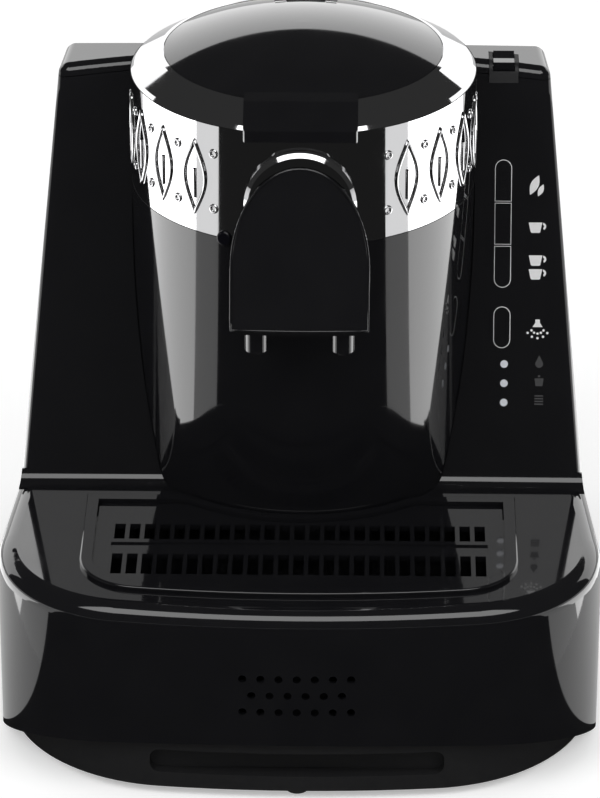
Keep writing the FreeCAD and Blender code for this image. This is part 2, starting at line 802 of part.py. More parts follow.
POT = dim("pot_radius")
POT_TOP = dim("pot_rim_height")
POT_LOW = POT_TOP - dim("pot_height")
POT_WALL = dim("pot_wall")
BAND_LOW = dim("band_bottom_height")
CRADLE = DRUM - 14.0
turned("chamber_plate", [
    (POT + 0.3, POT_TOP - 3.0),
    (DRUM - CHROME - 0.3, POT_TOP - 3.0),
    (DRUM - CHROME - 0.3, CREASE),
    (DRUM - CHROME - 1.4, CREASE),
    (DRUM - CHROME - 1.4, POT_TOP),
    (POT + 0.3, POT_TOP),
], (ZERO, DRUM_Y, ZERO))
turned("brew_pot", [
    (ZERO, POT_LOW),
    (POT, POT_LOW),
    (POT, POT_TOP),
    (POT + 4.0, POT_TOP),
    (POT + 4.0, POT_TOP + POT_WALL),
    (POT - POT_WALL, POT_TOP + POT_WALL),
    (POT - POT_WALL, POT_LOW + POT_WALL),
    (ZERO, POT_LOW + POT_WALL),
], (ZERO, DRUM_Y, ZERO))
turned("pot_seal", [
    (POT + 4.3, POT_TOP),
    (POT + 7.0, POT_TOP),
    (POT + 6.2, POT_TOP + 2.6),
    (POT + 5.0, POT_TOP + 2.6),
], (ZERO, DRUM_Y, ZERO))
turned("heater_plate", [
    (ZERO, POT_LOW - 6.0),
    (POT - 2.0, POT_LOW - 6.0),
    (POT - 2.0, POT_LOW),
    (ZERO, POT_LOW),
], (ZERO, DRUM_Y, ZERO))
turned("heater_cradle", [
    (ZERO, POT_LOW - 9.0),
    (CRADLE, POT_LOW - 9.0),
    (CRADLE, BAND_LOW),
    (DRUM - CHROME - 0.3, BAND_LOW),
    (DRUM - CHROME - 0.3, BAND_LOW + 1.5),
    (CRADLE - 1.5, BAND_LOW + 1.5),
    (CRADLE - 1.5, POT_LOW - 6.0),
    (ZERO, POT_LOW - 6.0),
], (ZERO, DRUM_Y, ZERO))
turned("thermostat", [
    (ZERO, POT_LOW - 17.0),
    (Size(9.0, "9"), POT_LOW - 17.0),
    (Size(9.0, "9"), POT_LOW - 9.0),
    (ZERO, POT_LOW - 9.0),
], (ZERO, DRUM_Y, ZERO))

# Spout with its cover, collar and two nozzles

spout_lean = math.radians(read("spout_lean_angle"))
spout_front = drum_y - drum_radius - read("collar_stand")
SPOUT_FRAME = FreeCAD.Placement(
    V(0, spout_front, read("spout_top_height")), FreeCAD.Rotation(X_AXIS, 90 - math.degrees(spout_lean)))


def spout_outline(inset, lower):
    """Bullet outline: half an ellipse over straight sides, in the cover's plane."""
    half = read("spout_width") / 2 - inset
    length = read("spout_cover_length")
    shoulder = 0.62 * length
    points = []
    for step in range(25):
        angle = math.pi * step / 24
        points.append(V(half * math.cos(angle), -shoulder + (shoulder - inset) * math.sin(angle), 0))
    curve = Part.BSplineCurve()
    curve.interpolate(points, InitialTangent=V(0, 1, 0), FinalTangent=V(0, -1, 0))
    low = -length - lower
    return Part.Wire([
        curve.toShape(),
        Part.makeLine(V(-half, -shoulder, 0), V(-half, low, 0)),
        Part.makeLine(V(-half, low, 0), V(half, low, 0)),
        Part.makeLine(V(half, low, 0), V(half, -shoulder, 0)),
    ])


def spout_bow(radius_change):
    """Long cylinder that gives the cover its bowed front."""
    radius = drum_radius + radius_change
    bow = Part.makeCylinder(radius, 200, V(0, 100, -drum_radius), V(0, -1, 0))
    return bow


def make_spout_cover():
    thick = read("spout_cover_thickness")
    slab = prism(spout_outline(0, 0), -30, 10)
    cover = slab.common(spout_bow(0)).cut(spout_bow(-thick))
    cover.Placement = SPOUT_FRAME
    return cover


def make_spout_body():
    thick = read("spout_cover_thickness")
    slab = prism(spout_outline(1.4, 1.4), -90, 10)
    core = slab.common(spout_bow(-thick - read("cover_gap")))
    core.Placement = SPOUT_FRAME
    core = core.cut(Part.makeCylinder(drum_radius + read("cover_gap"), TALL, V(0, drum_y, 0)))
    keep_front = box_between((-WIDE, -WIDE, 0), (WIDE, drum_y - 30, TALL))
    return core.common(keep_front)


spout_body = make_spout_body()
nozzle_y = front_y + read("nozzle_setback")
NOZZLE_LOW = read("spout_top_height") - read("spout_height") - read("nozzle_length")
nozzles = []
for side in (-1, 1):
    x = side * read("nozzle_spacing") / 2
    column = Part.makeCylinder(read("nozzle_radius"), 20, V(x, nozzle_y, NOZZLE_LOW))
    low_edge = [e for e in column.Edges if e.Vertexes[0].Z < NOZZLE_LOW + 0.1 and len(e.Vertexes) == 1]
    column = column.makeChamfer(1.2, low_edge)
    bore = Part.makeCylinder(read("nozzle_bore_radius"), 26, V(x, nozzle_y, NOZZLE_LOW - 1))
    nozzles.append(column.cut(spout_body).cut(bore))
    spout_body = spout_body.cut(bore)
made("spout_body", spout_body)
made("spout_cover", make_spout_cover())
made("nozzle_left", nozzles[0].Solids[0])
made("nozzle_right", nozzles[1].Solids[0])


def make_collar():
    radius = read("collar_radius")
    ring = Part.makeCylinder(radius, 60, V(0, spout_front, read("spout_top_height") - read("collar_drop")), Y_AXIS)
    rim = [e for e in ring.Edges if e.BoundBox.YMax < spout_front + 0.1 and len(e.Vertexes) == 1]
    ring = ring.makeChamfer(1.6, rim)
    ring = ring.cut(Part.makeCylinder(drum_radius + read("cover_gap"), TALL, V(0, drum_y, 0)))
    ring = ring.common(box_between((-WIDE, -WIDE, 0), (WIDE, drum_y - 30, TALL)))
    room = prism(spout_outline(-read("cover_gap"), 0), -90, 10)
    room.Placement = SPOUT_FRAME
    return ring.cut(room)


made("spout_collar", make_collar())

sensor_turn = math.atan2(31.9, 66.5)
sensor_out = V(-math.sin(sensor_turn), -math.cos(sensor_turn), 0)
sensor_spot = V(0, drum_y, band_bottom) + sensor_out * (drum_radius + 0.05)
sensor = Part.makeCylinder(read("sensor_radius"), 1.2, sensor_spot, sensor_out)
sensor_rim = [e for e in sensor.Edges if len(e.Vertexes) == 1 and (e.CenterOfMass - sensor_spot).Length > 1]
made("sensor_lens", sensor.makeFillet(0.7, sensor_rim))

# Drip tray and its slotted grille

rim_top = read("tray_rim_height")
tray_low = rim_top - read("tray_depth")
grille_top = rim_top - read("grille_drop")
ledge_z = grille_top - read("grille_thickness")


def make_tray():
    """Tray that hangs by its flange in the deck, with a ledge for the grille."""
    gap = read("tray_gap")
    skin = read("tray_wall")
    ledge = skin + read("tray_ledge")
    flange = prism(tray_wire(-read("tray_flange")), deck, rim_top)
    flange = flange.cut(Part.makeCylinder(drum_radius + 0.8, 20, V(0, drum_y, deck - 5)))
    edge = [e for e in flange.Edges if min(v.Z for v in e.Vertexes) > rim_top - 0.01]
    flange = flange.makeFillet(0.9, edge)
    tray = tray_block(0, tray_low, deck, gap).fuse(flange)
    tray = tray.cut(tray_block(skin, ledge_z, rim_top + 1, gap + skin))
    return tray.cut(tray_block(ledge, tray_low + skin, ledge_z + 1, gap + ledge))


def make_grille():
    """Plate with two rows of narrow slots and a shallow groove between them."""
    inset = read("tray_wall") + read("grille_gap")
    plate = tray_block(inset, ledge_z, grille_top, read("tray_gap") + inset)
    clear = drum_radius + drum_gap + read("drum_collar") + read("tray_gap") + inset + 2.6
    slots = []
    rows = [("front_slot_start", "front_slot_length"), ("rear_slot_start", "rear_slot_length")]
    for start_name, length_name in rows:
        near = front_y + read(start_name)
        far = near + read(length_name)
        for number in range(-12, 13):
            x = number * read("slot_pitch")
            reach = math.hypot(x, drum_y - far)
            if reach < clear - 0.2 and start_name == "rear_slot_start":
                far_here = drum_y - math.sqrt(clear ** 2 - x ** 2)
            else:
                far_here = far
            half = read("slot_width") / 2
            slots.append(box_between((x - half, near, ledge_z - 1), (x + half, far_here, grille_top + 1)))
    plate = plate.cut(group(slots))
    groove_near = front_y + read("front_slot_start") + read("front_slot_length") + 3
    groove_far = front_y + read("rear_slot_start") - 3
    groove = box_between((-80, groove_near, grille_top - 0.8), (80, groove_far, grille_top + 1))
    return plate.cut(groove)


made("drip_tray", make_tray())
made("drip_grille", make_grille())

# Control strip: four sprung buttons, a light guide and the board behind them


def make_button(height, round_top, round_bottom):
    """Cap through the shield, a retaining bar behind it and a stem to the board."""
    width = read("button_width")
    length = read("button_length")
    cap = pill(width, length, round_top, round_bottom, -wall - 0.5, read("button_stand"))
    bar = box_between((-width / 2 - 1.6, -length / 2 + 2, -wall - 1.5), (width / 2 + 1.6, length / 2 - 2, -wall - 0.2))
    stem = box_between((-1.5, -3, -BOARD_DEPTH + 1.2), (1.5, 3, -wall - 1))
    button = cap.fuse([bar, stem])
    button.Placement = face_placement(read("button_column"), height)
    return button


for name, height, round_top, round_bottom in BUTTONS:
    made(name, make_button(height, round_top, round_bottom))


def make_light_guide():
    """Bar behind the shield with one pin for each of the three lamps."""
    guide_x = read("button_column") + 1.2
    low = lamp_heights[-1] - 4
    high = lamp_heights[0] + 4
    middle = (low + high) / 2
    length = (high - low) / math.cos(lean)
    bar = box_between((-2.6, -length / 2, -BOARD_DEPTH), (2.6, length / 2, -wall - 0.2))
    bar.Placement = face_placement(guide_x, middle)
    for height in lamp_heights:
        pin = Part.makeCylinder(read("lamp_radius"), wall + 1.3, V(0, 0, -wall - 1))
        pin.Placement = face_placement(guide_x, height)
        bar = bar.fuse(pin)
    return bar


made("light_guide", make_light_guide())
board_half = (BOARD_HIGH - BOARD_LOW) / 2 / math.cos(lean) + 6
board = box_between((-11.2, -board_half, -BOARD_DEPTH - 1.6), (11.2, board_half, -BOARD_DEPTH))
board.Placement = face_placement(BOARD_X, (BOARD_HIGH + BOARD_LOW) / 2)
made("control_board", board)

buzzer = Part.makeCylinder(13, 8, V(0, front_y + 4.5, read("buzzer_row_height")), Y_AXIS)
buzzer = buzzer.fuse(box_between((-8, front_y + 6, BUZZER_FOOT), (8, front_y + 17, BUZZER_FOOT + 8)))
made("buzzer", buzzer)

# Power switch on the edge of the right wing

switch_x = read("switch_column")
switch_low = read("switch_floor_height")
switch_y = face_y(switch_low)
pivot_y = switch_y + read("switch_depth") / 2 + 0.4
pivot_z = switch_low + 4.6
half_switch = read("switch_width") / 2 - 0.2
rocker_half = half_switch - read("switch_wall") - 0.3


def make_switch_housing():
    """Frame that fills the notch in the wing, open above the rocker."""
    room = read("switch_wall")
    frame = box_between((switch_x - half_switch, switch_y - 4, switch_low),
                        (switch_x + half_switch, switch_y + read("switch_depth") - 0.2, TALL))
    frame = frame.common(OUTER)
    frame = frame.cut(box_between((switch_x - half_switch + room, pivot_y - 6.2, switch_low + 1.4),
                                  (switch_x + half_switch - room, pivot_y + 6.2, TALL)))
    return frame.cut(rod_x(1.05, switch_x - half_switch - 1, switch_x + half_switch + 1, pivot_y, pivot_z))


def make_rocker():
    """Rocker with a slightly dished top on a short axle."""
    profile = [(pivot_y - 5.2, pivot_z - 1.2), (pivot_y - 2.0, pivot_z - 2.4), (pivot_y + 2.0, pivot_z - 2.4),
               (pivot_y + 5.2, pivot_z - 1.2), (pivot_y + 5.2, pivot_z + 5.0), (pivot_y, pivot_z + 3.6),
               (pivot_y - 5.2, pivot_z + 3.8)]
    paddle = polygon_x(profile, rocker_half)
    paddle.translate(V(switch_x, 0, 0))
    return paddle.fuse(rod_x(1.0, switch_x - half_switch + 0.1, switch_x + half_switch - 0.1, pivot_y, pivot_z))


made("switch_housing", make_switch_housing())
made("power_switch", make_rocker())

# Water tank behind the column, on its shelf

tank_front = column_back_y + read("tank_gap")
tank_top = read("tank_top_height")
shelf_z = read("tank_shelf_height")
tank_skin = read("tank_wall")
VALVE_X = 40.0
VALVE_Y = 120.0
behind = box_between((-WIDE, tank_front, 0), (WIDE, WIDE, TALL))


def tank_block(inset, low, high):
    """Straight below the deck, then drawn in with the housing above it."""
    lower = prism(plan_wire(read("tank_side_inset") + read("shoulder_inset") + inset), low, deck)
    upper = tapered_plan(read("tank_side_inset") + inset, deck, high)
    near = box_between((-WIDE, tank_front + inset, 0), (WIDE, WIDE, TALL))
    return lower.fuse(upper).common(near)


def make_tank():
    tank = tank_block(0, shelf_z, tank_top)
    tank = tank.cut(tank_block(tank_skin, shelf_z + tank_skin, tank_top + 5))
    tank = tank.cut(Part.makeCylinder(5.3, 10, V(VALVE_X, VALVE_Y, shelf_z - 2)))
    for side in (-1, 1):
        near, far = sorted((side * 20.4, side * 26))
        lug = box_between((near, tank_hinge_y - 3, tank_top - 9), (far, tank_hinge_y + 5, tank_hinge_z))
        lug = lug.common(tank_block(0, shelf_z, TALL - 150)).fuse(rod_x(3, near, far, tank_hinge_y, tank_hinge_z))
        tank = tank.fuse(lug)
    return tank.cut(rod_x(1.25, -WIDE, WIDE, tank_hinge_y, tank_hinge_z))


def tank_rear_y(height):
    """Rear wall of the tank at a height above the deck."""
    draft = math.tan(math.radians(read("side_draft_angle")))
    return rear_y - read("tank_side_inset") - read("shoulder_inset") - (height - deck) * draft


tank_hinge_y = tank_rear_y(tank_top) - 4.5
tank_hinge_z = tank_top + 3.2


def make_tank_lid():
    """Lid with a lipped underside and one knuckle between the tank's lugs."""
    thick = read("tank_lid_thickness")
    plate = tank_block(0.2, shelf_z, tank_top + thick).common(
        box_between((-WIDE, 0, tank_top + 0.2), (WIDE, tank_hinge_y - 4.4, TALL)))
    lip = tank_block(tank_skin + 1.2, tank_top - 4, tank_top + 1)
    lip = lip.common(box_between((-WIDE, 0, tank_top - 4), (WIDE, tank_hinge_y - 10, TALL)))
    lip = lip.cut(tank_block(tank_skin + 2.5, tank_top - 5, tank_top + 0.2).common(
        box_between((-WIDE, 0, tank_top - 5), (WIDE, tank_hinge_y - 12, TALL))))
    arm = box_between((-20, tank_hinge_y - 6, tank_hinge_z - 1.4), (20, tank_hinge_y, tank_hinge_z + 1.0))
    knuckle = rod_x(3, -20, 20, tank_hinge_y, tank_hinge_z)
    lid = plate.fuse([lip, arm, knuckle])
    return lid.cut(rod_x(1.3, -WIDE, WIDE, tank_hinge_y, tank_hinge_z))


made("water_tank", make_tank())
made("tank_lid", make_tank_lid())
made("tank_hinge_pin", rod_x(1.25, -26, 26, tank_hinge_y, tank_hinge_z))
valve = Part.makeCylinder(5.0, tank_skin + 1, V(VALVE_X, VALVE_Y, shelf_z))
valve = valve.fuse(Part.makeCylinder(9.0, 2.2, V(VALVE_X, VALVE_Y, shelf_z + tank_skin)))
valve = valve.fuse(Part.makeCone(7.0, 3.0, 5, V(VALVE_X, VALVE_Y, shelf_z + tank_skin + 2.2)))
made("tank_valve", valve)

shelf = prism(plan_wire(base_wall + read("plinth_gap")), shelf_z - read("shelf_thickness"), shelf_z)
shelf = shelf.common(box_between((-WIDE, column_back_y + 0.2, 0), (WIDE, WIDE, TALL)))
made("tank_shelf", shelf.cut(Part.makeCylinder(4.2, 10, V(VALVE_X, VALVE_Y, shelf_z - 5))))

# Inside the base

PUMP_Y = 60.0
pump = rod_x(15, -30, 20, PUMP_Y, FLOOR + 20)
pump = pump.fuse(box_between((-28, PUMP_Y - 16, FLOOR), (18, PUMP_Y + 16, FLOOR + 8)))
pump = pump.fuse(Part.makeCylinder(5, 22, V(-12, PUMP_Y, FLOOR + 18)))
pump = pump.fuse(rod_x(5, 19, 28, PUMP_Y, FLOOR + 20))
made("pump", pump)


def hose(points, radius, bore):
    """Bent tube through a list of points."""
    path = Part.BSplineCurve()
    path.interpolate(points)
    wire = Part.Wire([path.toShape()])
    start = path.tangent(0)[0]
    skin = []
    for size in (radius, bore):
        ring = Part.Wire([Part.makeCircle(size, points[0], start)])
        skin.append(wire.makePipeShell([ring], True, False))
    return skin[0].cut(skin[1])


made("pump_hose", hose([V(28, PUMP_Y, FLOOR + 20), V(36, PUMP_Y + 4, FLOOR + 19.5), V(41, PUMP_Y + 30, FLOOR + 11),
                        V(VALVE_X, VALVE_Y - 3, FLOOR + 12), V(VALVE_X, VALVE_Y, shelf_z - read("shelf_thickness"))],
                       3.6, 2.2).cut(pump))
RISER_Y = drum_y + 66.0
made("riser_hose", hose([V(-12, PUMP_Y, FLOOR + 40), V(-10, PUMP_Y + 3, FLOOR + 52), V(-2, RISER_Y - 2, FLOOR + 76),
                         V(0, RISER_Y, FLOOR + 100), V(0, RISER_Y, 160), V(0, RISER_Y, band_bottom - 0.5)],
                        3.2, 2.0).cut(pump))
power_board = box_between((-90, -28, FLOOR + 8), (-38, 38, FLOOR + 9.6))
power_board = power_board.fuse(box_between((-80, -18, FLOOR + 9.6), (-56, 8, FLOOR + 28)))
power_board = power_board.fuse(box_between((-50, 8, FLOOR + 9.6), (-42, 30, FLOOR + 20)))
made("power_board", power_board)

# Feet, screws and the cable gland

foot_x = half_width - read("foot_inset")
FEET = [
    ("foot_front_middle", 0.0, front_y + 12.0, 5.5),
    ("foot_front_left", -foot_x, front_y + 40.0, 8.0),
    ("foot_front_right", foot_x, front_y + 40.0, 8.0),
    ("foot_rear_left", -foot_x - 8.0, rear_y - 26.0, 8.0),
    ("foot_rear_right", foot_x + 8.0, rear_y - 26.0, 8.0),
]
for name, x, y, size in FEET:
    pad = Part.makeCylinder(size, foot, V(x, y, 0))
    bottom = [e for e in pad.Edges if len(e.Vertexes) == 1 and e.CenterOfMass.z < 0.1]
    made(name, pad.makeChamfer(0.8, bottom))

screws = []
for x, y in SCREWS:
    head = Part.makeCylinder(read("screw_head_radius"), 1.6, V(x, y, foot + 0.3))
    slot = box_between((x - 2.4, y - 0.4, foot), (x + 2.4, y + 0.4, foot + 1.1))
    shank = Part.makeCylinder(read("screw_radius"), 18, V(x, y, foot + 1.6))
    screws.append(head.fuse(shank).cut(slot))
made("base_screws", group(screws))

gland_x = read("gland_column")
gland_size = read("gland_radius")
gland = Part.makeCylinder(gland_size, 9, V(gland_x, rear_y - 9.2, GLAND_Z), Y_AXIS)
gland = gland.fuse(Part.makeCylinder(gland_size + 3, 2, V(gland_x, rear_y - 9.2, GLAND_Z), Y_AXIS))
made("cable_gland", gland.cut(Part.makeCylinder(3.4, 20, V(gland_x, rear_y - 15, GLAND_Z), Y_AXIS)))

doc.recompute()


def check_document():
    for item in doc.Objects:
        if "Invalid" in item.State or "Error" in item.State:
            raise RuntimeError(f"{item.Label} failed: {item.State}")
    for node in NODES:
        if node.Shape.isNull() or not node.Shape.isValid():
            raise RuntimeError(f"{node.Label} has no valid shape")


check_document()
for node in NODES:
    node.Shape.exportStep(f"parts/{node.Label}.step")
    bounds = node.Shape.BoundBox
    print(f"{node.Label}: {len(node.Shape.Solids)} solid, {node.Shape.Volume / 1000:.1f} cm3, "
          f"z {bounds.ZMin:.1f} to {bounds.ZMax:.1f}")
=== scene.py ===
# %% [markdown]
# # A Turkish coffee machine in gloss black and chrome
#
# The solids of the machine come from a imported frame, already in metres and in
# place. This lesson gives them their finishes, adds the small surface pieces
# (pictograms, button outlines, the raised border of the chrome band, the bead
# lines at the joints) and sets up a small product studio. Gloss black plastic
# shows almost nothing of its own colour: what we see is what it mirrors. So
# most of the look is decided by where the white panels stand.

# %% Load the frame
import json
import math

import bpy
from mathutils import Matrix, Vector


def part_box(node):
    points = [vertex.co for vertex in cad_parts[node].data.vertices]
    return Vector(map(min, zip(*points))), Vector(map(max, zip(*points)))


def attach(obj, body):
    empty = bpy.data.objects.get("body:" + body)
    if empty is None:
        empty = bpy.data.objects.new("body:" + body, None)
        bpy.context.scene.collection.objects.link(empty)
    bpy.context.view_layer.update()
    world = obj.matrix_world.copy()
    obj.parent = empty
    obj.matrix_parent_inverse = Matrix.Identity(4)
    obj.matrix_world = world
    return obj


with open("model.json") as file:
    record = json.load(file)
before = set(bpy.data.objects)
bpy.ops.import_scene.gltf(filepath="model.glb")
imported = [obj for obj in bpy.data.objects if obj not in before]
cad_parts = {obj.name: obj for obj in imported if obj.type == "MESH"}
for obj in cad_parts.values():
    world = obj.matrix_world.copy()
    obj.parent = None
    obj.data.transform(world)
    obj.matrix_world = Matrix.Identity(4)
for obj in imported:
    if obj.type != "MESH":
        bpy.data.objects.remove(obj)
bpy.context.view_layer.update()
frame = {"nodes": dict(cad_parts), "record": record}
nodes = frame["nodes"]

# %% [markdown]
# ## Places that several pieces share
#
# The control side of the machine is a flat shield that leans back by twenty
# degrees. Printed marks and button outlines lie on it, so we keep its plane in
# one place. The round column gets its centre and radius from the chrome band
# itself: a measured place can't drift away from the piece it belongs to.

# %% Plane of the shield and axis of the column
MM = 0.001
LEAN = math.radians(20)
SHIELD_LOW = 90
SHIELD_FOOT = Vector((0, -26 * MM, SHIELD_LOW * MM))
SHIELD_UP = Vector((0, math.sin(LEAN), math.cos(LEAN)))
SHIELD_OUT = Vector((0, -math.cos(LEAN), math.sin(LEAN)))
band_low, band_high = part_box("chrome_band")
COLUMN_Y = (band_low.y + band_high.y) / 2
COLUMN_RADIUS = (band_high.x - band_low.x) / 2
print("column:", round(COLUMN_Y, 4), round(COLUMN_RADIUS, 4))


def on_shield(x, height, right=0.0, up=0.0, out=0.0):
    """Point on the leaning shield, found by its x and height in millimetres."""
    foot = SHIELD_FOOT + SHIELD_UP * ((height - SHIELD_LOW) * MM / math.cos(LEAN))
    return Vector((x * MM + right * MM, foot.y, foot.z)) + SHIELD_UP * up * MM + SHIELD_OUT * out * MM


def on_column(turn, height, out=0.0):
    """Point on the round column; turn is in degrees, 0 in front, + to the right."""
    angle = math.radians(turn)
    radius = COLUMN_RADIUS + out * MM
    return Vector((radius * math.sin(angle), COLUMN_Y - radius * math.cos(angle), height * MM))


# %% [markdown]
# ## A small kit for node materials
#
# Every finish here is a Principled shader with a little noise behind it. A
# helper that adds a node, sets its values and returns it keeps each recipe
# short. Coordinates come from the object itself, in metres, so that the grain
# has a real size and stays on the surface when the camera moves.

# %% Helpers for materials
def add(tree, kind, place=(0, 0), **inputs):
    node = tree.nodes.new(kind)
    node.location = place
    for name, value in inputs.items():
        node.inputs[name.replace("_", " ")].default_value = value
    return node


def fresh_material(name, colour, roughness, metallic=0.0):
    made = bpy.data.materials.new(name)
    made.use_nodes = True
    shader = made.node_tree.nodes["Principled BSDF"]
    shader.inputs["Base Color"].default_value = (*colour, 1)
    shader.inputs["Roughness"].default_value = roughness
    shader.inputs["Metallic"].default_value = metallic
    return made, made.node_tree, shader


def grain(tree, scale, detail=3.0, stretch=(1, 1, 1)):
    """Noise that lies in the object's own space; scale is in cells per metre."""
    where = add(tree, "ShaderNodeTexCoord", (-900, 0))
    fit = add(tree, "ShaderNodeMapping", (-720, 0))
    fit.inputs["Scale"].default_value = stretch
    noise = add(tree, "ShaderNodeTexNoise", (-540, 0), Scale=scale, Detail=detail)
    tree.links.new(where.outputs["Object"], fit.inputs["Vector"])
    tree.links.new(fit.outputs["Vector"], noise.inputs["Vector"])
    return noise.outputs["Fac"]


def spread(tree, source, low, high, target):
    """Maps noise from 0.3 to 0.7 onto a range and feeds it to a socket."""
    ramp = add(tree, "ShaderNodeMapRange", (-300, -120))
    for name, value in (("From Min", 0.3), ("From Max", 0.7), ("To Min", low), ("To Max", high)):
        ramp.inputs[name].default_value = value
    tree.links.new(source, ramp.inputs["Value"])
    tree.links.new(ramp.outputs["Result"], target)


def two_tones(tree, source, first, second, target):
    """Blends two close colours by noise, as real mouldings and coatings vary."""
    mix = add(tree, "ShaderNodeMix", (-300, 160))
    mix.data_type = "RGBA"
    mix.inputs["A"].default_value = (*first, 1)
    mix.inputs["B"].default_value = (*second, 1)
    tree.links.new(source, mix.inputs["Factor"])
    tree.links.new(mix.outputs["Result"], target)


def relief(tree, shader, source, height, strength=1.0):
    bump = add(tree, "ShaderNodeBump", (-300, -320), Strength=strength, Distance=height)
    tree.links.new(source, bump.inputs["Height"])
    tree.links.new(bump.outputs["Normal"], shader.inputs["Normal"])


# %% [markdown]
# ## Gloss black plastic
#
# The housings are injection moulded and polished in the tool. The colour is
# nearly black; the roughness is very low, and a clear coat doubles the sharp
# reflection. Long, faint waves of a few micrometres bend the mirrored edges a
# little, as on every real moulding of this size.

# %% Gloss black
gloss_black, tree, shader = fresh_material("polished_black", (0.006, 0.006, 0.007), 0.08)
shader.inputs["IOR"].default_value = 1.55
shader.inputs["Coat Weight"].default_value = 0.8
shader.inputs["Coat Roughness"].default_value = 0.02
two_tones(tree, grain(tree, 60.0), (0.005, 0.005, 0.006), (0.008, 0.008, 0.009), shader.inputs["Base Color"])
spread(tree, grain(tree, 35.0), 0.05, 0.10, shader.inputs["Roughness"])
relief(tree, shader, grain(tree, 9.0, 1.0), 0.00012, 0.5)
print("gloss black ready")

# %% [markdown]
# ## Matte dark plastic
#
# The pan under the base and the shelf for the tank are left with a spark
# eroded texture: a fine, even grain that scatters light. Noise at about half a
# millimetre, used both as roughness and as a shallow bump, gives it.

# %% Matte dark plastic
dark_grey, tree, shader = fresh_material("textured_dark_grey", (0.014, 0.014, 0.015), 0.45)
fine = grain(tree, 2200.0, 2.0)
two_tones(tree, grain(tree, 300.0), (0.011, 0.011, 0.012), (0.017, 0.017, 0.018), shader.inputs["Base Color"])
spread(tree, fine, 0.42, 0.58, shader.inputs["Roughness"])
relief(tree, shader, fine, 0.00004, 0.6)

# %% [markdown]
# ## Chrome and steel
#
# The collar of the column is bright plated: metallic, pale and almost perfectly
# smooth, with a roughness that wanders a little where it has been wiped. The
# brewing pot, the pins and the screws are plain steel, so their noise is
# stretched along one direction to look brushed.

# %% Chrome and brushed steel
chrome, tree, shader = fresh_material("bright_chrome", (0.80, 0.80, 0.81), 0.05, 1.0)
spread(tree, grain(tree, 45.0), 0.025, 0.07, shader.inputs["Roughness"])
relief(tree, shader, grain(tree, 14.0, 1.0), 0.00006, 0.4)

steel, tree, shader = fresh_material("brushed_steel", (0.60, 0.60, 0.61), 0.3, 1.0)
lines = grain(tree, 1800.0, 4.0, (0.03, 1, 1))
spread(tree, lines, 0.22, 0.42, shader.inputs["Roughness"])
relief(tree, shader, lines, 0.00002, 0.5)

cast_alloy, tree, shader = fresh_material("cast_alloy", (0.50, 0.50, 0.51), 0.5, 1.0)
spread(tree, grain(tree, 600.0), 0.4, 0.6, shader.inputs["Roughness"])
relief(tree, shader, grain(tree, 900.0, 3.0), 0.00006, 0.7)

# %% [markdown]
# ## Rubber, lenses, boards and the smoked tank
#
# The feet and hoses are rubber: dark, rough, slightly dusty. The lens over the
# sensor is polished and nearly black, and the light guide is milky. The circuit
# boards are green lacquer. The tank is a smoked clear plastic, so it transmits
# light and tints it.

# %% Small finishes
black_rubber, tree, shader = fresh_material("foot_rubber", (0.018, 0.018, 0.018), 0.75)
two_tones(tree, grain(tree, 500.0), (0.014, 0.014, 0.014), (0.030, 0.029, 0.028), shader.inputs["Base Color"])
relief(tree, shader, grain(tree, 1500.0), 0.00005, 0.6)

lens_black, tree, shader = fresh_material("sensor_black", (0.004, 0.004, 0.006), 0.03)
spread(tree, grain(tree, 200.0), 0.02, 0.05, shader.inputs["Roughness"])

lens_white, tree, shader = fresh_material("milky_light_guide", (0.72, 0.74, 0.78), 0.25)
shader.inputs["Subsurface Weight"].default_value = 0.3
shader.inputs["Subsurface Radius"].default_value = (0.002, 0.002, 0.002)
spread(tree, grain(tree, 400.0), 0.2, 0.32, shader.inputs["Roughness"])

board_green, tree, shader = fresh_material("lacquered_board", (0.02, 0.11, 0.05), 0.35)
two_tones(tree, grain(tree, 700.0), (0.015, 0.09, 0.04), (0.03, 0.14, 0.07), shader.inputs["Base Color"])

smoked_tank, tree, shader = fresh_material("smoked_clear", (0.10, 0.105, 0.11), 0.05)
shader.inputs["Transmission Weight"].default_value = 0.45
shader.inputs["IOR"].default_value = 1.49
spread(tree, grain(tree, 60.0), 0.03, 0.06, shader.inputs["Roughness"])

# White for the printed signs. The same white also paints the bevel highlights round the buttons, so it is
# partly real print and partly painted highlight.
print_and_highlight_white, tree, shader = fresh_material("white_print_and_painted_highlight", (0.80, 0.80, 0.80), 0.45)
two_tones(tree, grain(tree, 3000.0), (0.76, 0.76, 0.76), (0.84, 0.84, 0.84), shader.inputs["Base Color"])

print_dim, tree, shader = fresh_material("dim_print", (0.05, 0.05, 0.052), 0.5)
two_tones(tree, grain(tree, 3000.0), (0.045, 0.045, 0.047), (0.06, 0.06, 0.062), shader.inputs["Base Color"])

joint_black, tree, shader = fresh_material("joint_shadow", (0.002, 0.002, 0.002), 0.8)
spread(tree, grain(tree, 800.0), 0.7, 0.9, shader.inputs["Roughness"])

# %% [markdown]
# ## Dress the solids
#
# The record names a slot for each node. One table from slot to finish dresses
# all of them, and nothing is left with a default grey.

# %% Finish for each slot
FINISH = {
    "gloss_black": gloss_black, "dark_grey": dark_grey, "chrome": chrome, "steel": steel,
    "black_rubber": black_rubber, "cast_alloy": cast_alloy, "lens_black": lens_black,
    "lens_white": lens_white, "smoked_tank": smoked_tank, "board_green": board_green,
}
for row in frame["record"]["subparts"]:
    solid = nodes[row["node"]]
    solid.data.materials.clear()
    solid.data.materials.append(FINISH[row["material_slot"]])
